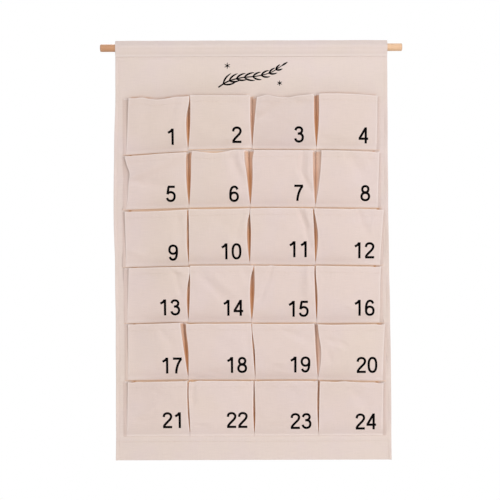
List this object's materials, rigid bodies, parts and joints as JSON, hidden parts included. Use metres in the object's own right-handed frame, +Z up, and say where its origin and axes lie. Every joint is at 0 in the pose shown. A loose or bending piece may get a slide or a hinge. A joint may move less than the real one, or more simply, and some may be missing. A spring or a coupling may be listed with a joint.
{
  "type": "advent calendar",
  "caption": "Canvas wall hanging on a wooden dowel, with rows of pleated pockets that open at the top for small gifts.",
  "frame": {"origin": "middle of the dowel, on its axis, where the hanging is held up", "axes": "+X along the dowel to the right as the pockets are seen, -Y out of the pockets' fronts, +Z up"},
  "size_m": [0.6, 0.0268, 0.8324],
  "materials": {
    "wood": "bare sanded softwood or beech dowel",
    "canvas": "matt natural cotton canvas",
    "pocket_canvas": "matt natural cotton canvas, pressed into pleats, with printed plain numbers"
  },
  "bodies": {
    "dowel": {"dowel": "wood"},
    "sleeve": {"top_sleeve": "canvas"},
    "panel": {"back_panel": "canvas", "pleat_left_01": "pocket_canvas", "pleat_01_02": "pocket_canvas", "pleat_02_03": "pocket_canvas", "pleat_03_04": "pocket_canvas", "pleat_right_04": "pocket_canvas", "pleat_left_05": "pocket_canvas", "pleat_05_06": "pocket_canvas", "pleat_06_07": "pocket_canvas", "pleat_07_08": "pocket_canvas", "pleat_right_08": "pocket_canvas", "pleat_left_09": "pocket_canvas", "pleat_09_10": "pocket_canvas", "pleat_10_11": "pocket_canvas", "pleat_11_12": "pocket_canvas", "pleat_right_12": "pocket_canvas", "pleat_left_13": "pocket_canvas", "pleat_13_14": "pocket_canvas", "pleat_14_15": "pocket_canvas", "pleat_15_16": "pocket_canvas", "pleat_right_16": "pocket_canvas", "pleat_left_17": "pocket_canvas", "pleat_17_18": "pocket_canvas", "pleat_18_19": "pocket_canvas", "pleat_19_20": "pocket_canvas", "pleat_right_20": "pocket_canvas", "pleat_left_21": "pocket_canvas", "pleat_21_22": "pocket_canvas", "pleat_22_23": "pocket_canvas", "pleat_23_24": "pocket_canvas", "pleat_right_24": "pocket_canvas"},
    "pocket_01": {"pocket_01_front": "pocket_canvas"},
    "pocket_02": {"pocket_02_front": "pocket_canvas"},
    "pocket_03": {"pocket_03_front": "pocket_canvas"},
    "pocket_04": {"pocket_04_front": "pocket_canvas"},
    "pocket_05": {"pocket_05_front": "pocket_canvas"},
    "pocket_06": {"pocket_06_front": "pocket_canvas"},
    "pocket_07": {"pocket_07_front": "pocket_canvas"},
    "pocket_08": {"pocket_08_front": "pocket_canvas"},
    "pocket_09": {"pocket_09_front": "pocket_canvas"},
    "pocket_10": {"pocket_10_front": "pocket_canvas"},
    "pocket_11": {"pocket_11_front": "pocket_canvas"},
    "pocket_12": {"pocket_12_front": "pocket_canvas"},
    "pocket_13": {"pocket_13_front": "pocket_canvas"},
    "pocket_14": {"pocket_14_front": "pocket_canvas"},
    "pocket_15": {"pocket_15_front": "pocket_canvas"},
    "pocket_16": {"pocket_16_front": "pocket_canvas"},
    "pocket_17": {"pocket_17_front": "pocket_canvas"},
    "pocket_18": {"pocket_18_front": "pocket_canvas"},
    "pocket_19": {"pocket_19_front": "pocket_canvas"},
    "pocket_20": {"pocket_20_front": "pocket_canvas"},
    "pocket_21": {"pocket_21_front": "pocket_canvas"},
    "pocket_22": {"pocket_22_front": "pocket_canvas"},
    "pocket_23": {"pocket_23_front": "pocket_canvas"},
    "pocket_24": {"pocket_24_front": "pocket_canvas"}
  },
  "joints": [
    {"name": "sleeve_slide", "type": "slide", "parent": "dowel", "child": "sleeve", "axis": [1, 0, 0], "range_m": [-0.575, 0.575]},
    {"name": "panel_swing", "type": "hinge", "parent": "sleeve", "child": "panel", "pos_m": [0, 0, -0.0184], "axis": [1, 0, 0], "range_deg": [-90, 90]},
    {"name": "pocket_01_open", "type": "hinge", "parent": "panel", "child": "pocket_01", "pos_m": [-0.18715, -0.0013, -0.2098], "axis": [0.9984, 0, 0.0572], "range_deg": [-6.5, 8], "stiffness_Nm_per_rad": 0.03, "deforming": ["pleat_left_01", "pleat_01_02"]},
    {"name": "pocket_02_open", "type": "hinge", "parent": "panel", "child": "pocket_02", "pos_m": [-0.06205, -0.0013, -0.20405], "axis": [0.9999, 0, 0.0119], "range_deg": [-6.5, 8], "stiffness_Nm_per_rad": 0.03, "deforming": ["pleat_01_02", "pleat_02_03"]},
    {"name": "pocket_03_open", "type": "hinge", "parent": "panel", "child": "pocket_03", "pos_m": [0.0653, -0.0013, -0.2028], "axis": [1, 0, -0.0079], "range_deg": [-6.5, 8], "stiffness_Nm_per_rad": 0.03, "deforming": ["pleat_02_03", "pleat_03_04"]},
    {"name": "pocket_04_open", "type": "hinge", "parent": "panel", "child": "pocket_04", "pos_m": [0.18865, -0.0013, -0.20505], "axis": [0.9993, 0, -0.0381], "range_deg": [-6.5, 8], "stiffness_Nm_per_rad": 0.03, "deforming": ["pleat_03_04", "pleat_right_04"]},
    {"name": "pocket_05_open", "type": "hinge", "parent": "panel", "child": "pocket_05", "pos_m": [-0.1864, -0.0013, -0.3216], "axis": [0.9995, 0, 0.0323], "range_deg": [-6.5, 8], "stiffness_Nm_per_rad": 0.03, "deforming": ["pleat_left_05", "pleat_05_06"]},
    {"name": "pocket_06_open", "type": "hinge", "parent": "panel", "child": "pocket_06", "pos_m": [-0.0633, -0.0013, -0.31835], "axis": [0.9999, 0, 0.0124], "range_deg": [-6.5, 8], "stiffness_Nm_per_rad": 0.03, "deforming": ["pleat_05_06", "pleat_06_07"]},
    {"name": "pocket_07_open", "type": "hinge", "parent": "panel", "child": "pocket_07", "pos_m": [0.06205, -0.0013, -0.31735], "axis": [1, 0, -0.0039], "range_deg": [-6.5, 8], "stiffness_Nm_per_rad": 0.03, "deforming": ["pleat_06_07", "pleat_07_08"]},
    {"name": "pocket_08_open", "type": "hinge", "parent": "panel", "child": "pocket_08", "pos_m": [0.1884, -0.0013, -0.3186], "axis": [0.9999, 0, -0.0163], "range_deg": [-6.5, 8], "stiffness_Nm_per_rad": 0.03, "deforming": ["pleat_07_08", "pleat_right_08"]},
    {"name": "pocket_09_open", "type": "hinge", "parent": "panel", "child": "pocket_09", "pos_m": [-0.18715, -0.0013, -0.4324], "axis": [0.9995, 0, 0.0325], "range_deg": [-6.5, 8], "stiffness_Nm_per_rad": 0.03, "deforming": ["pleat_left_09", "pleat_09_10"]},
    {"name": "pocket_10_open", "type": "hinge", "parent": "panel", "child": "pocket_10", "pos_m": [-0.06455, -0.0013, -0.4299], "axis": [1, 0, 0], "range_deg": [-6.5, 8], "stiffness_Nm_per_rad": 0.03, "deforming": ["pleat_09_10", "pleat_10_11"]},
    {"name": "pocket_11_open", "type": "hinge", "parent": "panel", "child": "pocket_11", "pos_m": [0.06105, -0.0013, -0.43065], "axis": [0.9999, 0, -0.0116], "range_deg": [-6.5, 8], "stiffness_Nm_per_rad": 0.03, "deforming": ["pleat_10_11", "pleat_11_12"]},
    {"name": "pocket_12_open", "type": "hinge", "parent": "panel", "child": "pocket_12", "pos_m": [0.19015, -0.0013, -0.4319], "axis": [0.9999, 0, -0.0157], "range_deg": [-6.5, 8], "stiffness_Nm_per_rad": 0.03, "deforming": ["pleat_11_12", "pleat_right_12"]},
    {"name": "pocket_13_open", "type": "hinge", "parent": "panel", "child": "pocket_13", "pos_m": [-0.18665, -0.0013, -0.54395], "axis": [0.9996, 0, 0.0291], "range_deg": [-6.5, 8], "stiffness_Nm_per_rad": 0.03, "deforming": ["pleat_left_13", "pleat_13_14"]},
    {"name": "pocket_14_open", "type": "hinge", "parent": "panel", "child": "pocket_14", "pos_m": [-0.0633, -0.0013, -0.5437], "axis": [1, 0, 0], "range_deg": [-6.5, 8], "stiffness_Nm_per_rad": 0.03, "deforming": ["pleat_13_14", "pleat_14_15"]},
    {"name": "pocket_15_open", "type": "hinge", "parent": "panel", "child": "pocket_15", "pos_m": [0.0638, -0.0013, -0.54395], "axis": [0.9999, 0, -0.0118], "range_deg": [-6.5, 8], "stiffness_Nm_per_rad": 0.03, "deforming": ["pleat_14_15", "pleat_15_16"]},
    {"name": "pocket_16_open", "type": "hinge", "parent": "panel", "child": "pocket_16", "pos_m": [0.1904, -0.0013, -0.5452], "axis": [0.9999, 0, -0.0162], "range_deg": [-6.5, 8], "stiffness_Nm_per_rad": 0.03, "deforming": ["pleat_15_16", "pleat_right_16"]},
    {"name": "pocket_17_open", "type": "hinge", "parent": "panel", "child": "pocket_17", "pos_m": [-0.18615, -0.0013, -0.65625], "axis": [0.9998, 0, 0.0212], "range_deg": [-6.5, 8], "stiffness_Nm_per_rad": 0.03, "deforming": ["pleat_left_17", "pleat_17_18"]},
    {"name": "pocket_18_open", "type": "hinge", "parent": "panel", "child": "pocket_18", "pos_m": [-0.0603, -0.0013, -0.655], "axis": [1, 0, -0.0076], "range_deg": [-6.5, 8], "stiffness_Nm_per_rad": 0.03, "deforming": ["pleat_17_18", "pleat_18_19"]},
    {"name": "pocket_19_open", "type": "hinge", "parent": "panel", "child": "pocket_19", "pos_m": [0.06805, -0.0013, -0.655], "axis": [1, 0, 0], "range_deg": [-6.5, 8], "stiffness_Nm_per_rad": 0.03, "deforming": ["pleat_18_19", "pleat_19_20"]},
    {"name": "pocket_20_open", "type": "hinge", "parent": "panel", "child": "pocket_20", "pos_m": [0.19415, -0.0013, -0.65725], "axis": [0.9996, 0, -0.0275], "range_deg": [-6.5, 8], "stiffness_Nm_per_rad": 0.03, "deforming": ["pleat_19_20", "pleat_right_20"]},
    {"name": "pocket_21_open", "type": "hinge", "parent": "panel", "child": "pocket_21", "pos_m": [-0.18565, -0.0013, -0.7678], "axis": [1, 0, 0], "range_deg": [-6.5, 8], "stiffness_Nm_per_rad": 0.03, "deforming": ["pleat_left_21", "pleat_21_22"]},
    {"name": "pocket_22_open", "type": "hinge", "parent": "panel", "child": "pocket_22", "pos_m": [-0.05955, -0.0013, -0.7678], "axis": [1, 0, 0], "range_deg": [-6.5, 8], "stiffness_Nm_per_rad": 0.03, "deforming": ["pleat_21_22", "pleat_22_23"]},
    {"name": "pocket_23_open", "type": "hinge", "parent": "panel", "child": "pocket_23", "pos_m": [0.06755, -0.0013, -0.7678], "axis": [1, 0, 0], "range_deg": [-6.5, 8], "stiffness_Nm_per_rad": 0.03, "deforming": ["pleat_22_23", "pleat_23_24"]},
    {"name": "pocket_24_open", "type": "hinge", "parent": "panel", "child": "pocket_24", "pos_m": [0.1944, -0.0013, -0.7678], "axis": [1, 0, 0], "range_deg": [-6.5, 8], "stiffness_Nm_per_rad": 0.03, "deforming": ["pleat_23_24", "pleat_right_24"]}
  ]
}
